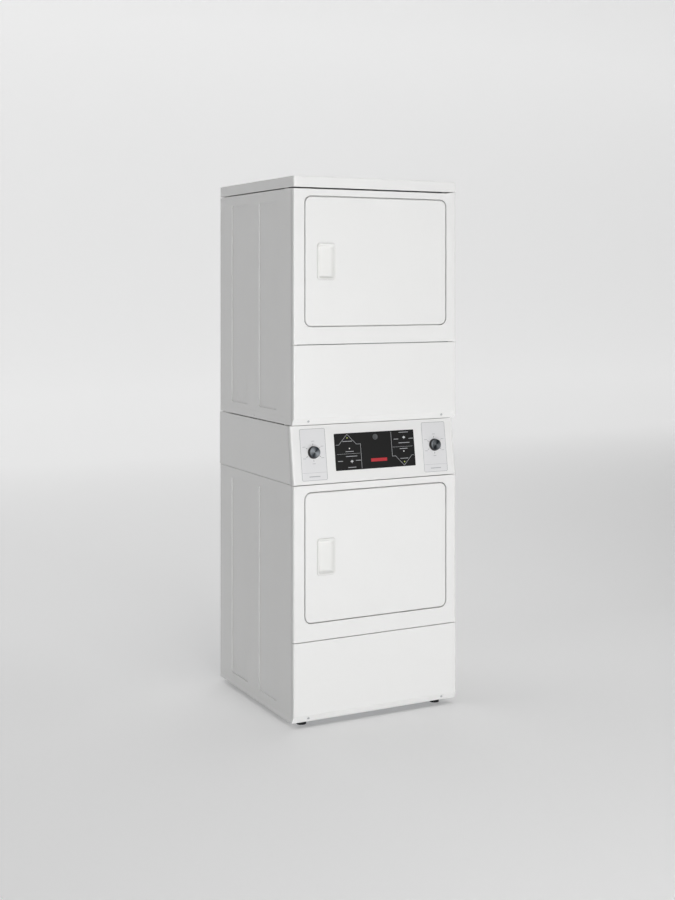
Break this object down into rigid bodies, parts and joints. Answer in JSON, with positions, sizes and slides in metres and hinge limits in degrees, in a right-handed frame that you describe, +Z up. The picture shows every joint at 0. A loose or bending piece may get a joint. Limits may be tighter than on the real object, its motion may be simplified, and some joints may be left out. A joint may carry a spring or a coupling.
{
  "type": "stacked double dryer",
  "caption": "Two front-loading tumble dryers stacked one above the other, with a shared leaning control console between them.",
  "frame": {"origin": "on the floor under the middle of the machine", "axes": "+Z up, +X to the right of a person facing the doors, front faces -Y"},
  "size_m": [0.683, 0.705, 1.978],
  "materials": {
    "white_enamel": "gloss",
    "galvanised_steel": "satin",
    "drum_steel": "satin",
    "dark_rubber": "matte",
    "bright_steel": "polished",
    "white_plastic": "gloss",
    "black_plastic": "satin",
    "motor_black": "satin",
    "plate_grey": "satin",
    "overlay_black": "gloss",
    "spun_aluminium": "satin",
    "board_green": "satin",
    "button_grey": "satin",
    "lamp_lens": "gloss"
  },
  "bodies": {
    "cabinet": {"lower_front_panel": "white_enamel", "lower_access_panel": "white_enamel", "lower_left_side_panel": "white_enamel", "lower_right_side_panel": "white_enamel", "lower_rear_panel": "galvanised_steel", "lower_front_bulkhead": "galvanised_steel", "lower_rear_bulkhead": "galvanised_steel", "lower_blower_housing": "galvanised_steel", "upper_front_panel": "white_enamel", "upper_access_panel": "white_enamel", "upper_left_side_panel": "white_enamel", "upper_right_side_panel": "white_enamel", "upper_rear_panel": "galvanised_steel", "upper_front_bulkhead": "galvanised_steel", "upper_rear_bulkhead": "galvanised_steel", "upper_blower_housing": "galvanised_steel", "top_panel": "white_enamel", "console_fascia": "white_enamel", "console_housing": "white_enamel", "base_pans": "galvanised_steel", "exhaust_ducts": "galvanised_steel", "heater_boxes": "galvanised_steel", "door_frame_fittings": "bright_steel", "idler_arms": "bright_steel", "panel_screws": "bright_steel", "motors": "motor_black", "drum_belts": "dark_rubber", "levelling_feet": "dark_rubber", "knob_plates": "plate_grey", "control_overlay": "overlay_black", "control_board": "board_green", "status_lights": "lamp_lens"},
    "lower_door": {"lower_door_panel": "white_enamel", "lower_door_liner": "galvanised_steel", "lower_door_seal": "dark_rubber", "lower_door_handle": "white_plastic", "lower_door_hinges": "bright_steel"},
    "lower_drum_body": {"lower_drum": "drum_steel"},
    "lower_drive": {"lower_drive_shaft": "bright_steel"},
    "lower_left_roller": {"lower_left_drum_roller": "dark_rubber"},
    "lower_right_roller": {"lower_right_drum_roller": "dark_rubber"},
    "lower_idler": {"lower_idler_pulley": "black_plastic"},
    "lower_filter": {"lower_lint_filter": "white_plastic"},
    "upper_door": {"upper_door_panel": "white_enamel", "upper_door_liner": "galvanised_steel", "upper_door_seal": "dark_rubber", "upper_door_handle": "white_plastic", "upper_door_hinges": "bright_steel"},
    "upper_drum_body": {"upper_drum": "drum_steel"},
    "upper_drive": {"upper_drive_shaft": "bright_steel"},
    "upper_left_roller": {"upper_left_drum_roller": "dark_rubber"},
    "upper_right_roller": {"upper_right_drum_roller": "dark_rubber"},
    "upper_idler": {"upper_idler_pulley": "black_plastic"},
    "upper_filter": {"upper_lint_filter": "white_plastic"},
    "left_knob_body": {"left_knob": "black_plastic", "left_knob_cap": "spun_aluminium"},
    "left_button": {"left_start_button": "button_grey"},
    "right_knob_body": {"right_knob": "black_plastic", "right_knob_cap": "spun_aluminium"},
    "right_button": {"right_start_button": "button_grey"}
  },
  "joints": [
    {"name": "lower_door_swing", "type": "hinge", "parent": "cabinet", "child": "lower_door", "pos_m": [0.2845, -0.345, 0.608], "axis": [0, 0, 1], "range_deg": [0, 100]},
    {"name": "lower_drum_spin", "type": "hinge", "parent": "cabinet", "child": "lower_drum_body", "pos_m": [0, -0.0085, 0.539], "axis": [0, 1, 0], "continuous": true},
    {"name": "lower_drive_spin", "type": "hinge", "parent": "cabinet", "child": "lower_drive", "pos_m": [-0.06, -0.0485, 0.125], "axis": [0, 1, 0], "continuous": true},
    {"name": "lower_left_roller_spin", "type": "hinge", "parent": "cabinet", "child": "lower_left_roller", "pos_m": [-0.21746, 0.2385, 0.27985], "axis": [0, 1, 0], "continuous": true},
    {"name": "lower_right_roller_spin", "type": "hinge", "parent": "cabinet", "child": "lower_right_roller", "pos_m": [0.21746, 0.2385, 0.27985], "axis": [0, 1, 0], "continuous": true},
    {"name": "lower_idler_spin", "type": "hinge", "parent": "cabinet", "child": "lower_idler", "pos_m": [0.06732, 0.0855, 0.17679], "axis": [0, 1, 0], "continuous": true},
    {"name": "lower_filter_pull", "type": "slide", "parent": "cabinet", "child": "lower_filter", "axis": [0, 0, 1], "range_m": [0, 0.14]},
    {"name": "upper_door_swing", "type": "hinge", "parent": "cabinet", "child": "upper_door", "pos_m": [0.2845, -0.345, 1.672], "axis": [0, 0, 1], "range_deg": [0, 100]},
    {"name": "upper_drum_spin", "type": "hinge", "parent": "cabinet", "child": "upper_drum_body", "pos_m": [0, -0.0085, 1.603], "axis": [0, 1, 0], "continuous": true},
    {"name": "upper_drive_spin", "type": "hinge", "parent": "cabinet", "child": "upper_drive", "pos_m": [-0.06, -0.0485, 1.189], "axis": [0, 1, 0], "continuous": true},
    {"name": "upper_left_roller_spin", "type": "hinge", "parent": "cabinet", "child": "upper_left_roller", "pos_m": [-0.21746, 0.2385, 1.34385], "axis": [0, 1, 0], "continuous": true},
    {"name": "upper_right_roller_spin", "type": "hinge", "parent": "cabinet", "child": "upper_right_roller", "pos_m": [0.21746, 0.2385, 1.34385], "axis": [0, 1, 0], "continuous": true},
    {"name": "upper_idler_spin", "type": "hinge", "parent": "cabinet", "child": "upper_idler", "pos_m": [0.06732, 0.0855, 1.24079], "axis": [0, 1, 0], "continuous": true},
    {"name": "upper_filter_pull", "type": "slide", "parent": "cabinet", "child": "upper_filter", "axis": [0, 0, 1], "range_m": [0, 0.14]},
    {"name": "left_knob_turn", "type": "hinge", "parent": "cabinet", "child": "left_knob_body", "pos_m": [-0.2545, -0.33149, 0.98374], "axis": [0, -0.989, 0.1479], "range_deg": [-120, 180]},
    {"name": "left_button_press", "type": "slide", "parent": "cabinet", "child": "left_button", "axis": [0, 0.989, -0.1479], "range_m": [0, 0.0012], "stiffness_N_per_m": 600, "springref_m": -0.001},
    {"name": "right_knob_turn", "type": "hinge", "parent": "cabinet", "child": "right_knob_body", "pos_m": [0.2545, -0.33149, 0.98374], "axis": [0, -0.989, 0.1479], "range_deg": [-120, 180]},
    {"name": "right_button_press", "type": "slide", "parent": "cabinet", "child": "right_button", "axis": [0, 0.989, -0.1479], "range_m": [0, 0.0012], "stiffness_N_per_m": 600, "springref_m": -0.001}
  ],
  "couplings": [
    {"joint": "lower_drive_spin", "follows": "lower_drum_spin", "ratio": 25.667},
    {"joint": "lower_left_roller_spin", "follows": "lower_drum_spin", "ratio": -10.267},
    {"joint": "lower_right_roller_spin", "follows": "lower_drum_spin", "ratio": -10.267},
    {"joint": "lower_idler_spin", "follows": "lower_drum_spin", "ratio": -15.4},
    {"joint": "upper_drive_spin", "follows": "upper_drum_spin", "ratio": 25.667},
    {"joint": "upper_left_roller_spin", "follows": "upper_drum_spin", "ratio": -10.267},
    {"joint": "upper_right_roller_spin", "follows": "upper_drum_spin", "ratio": -10.267},
    {"joint": "upper_idler_spin", "follows": "upper_drum_spin", "ratio": -15.4}
  ]
}
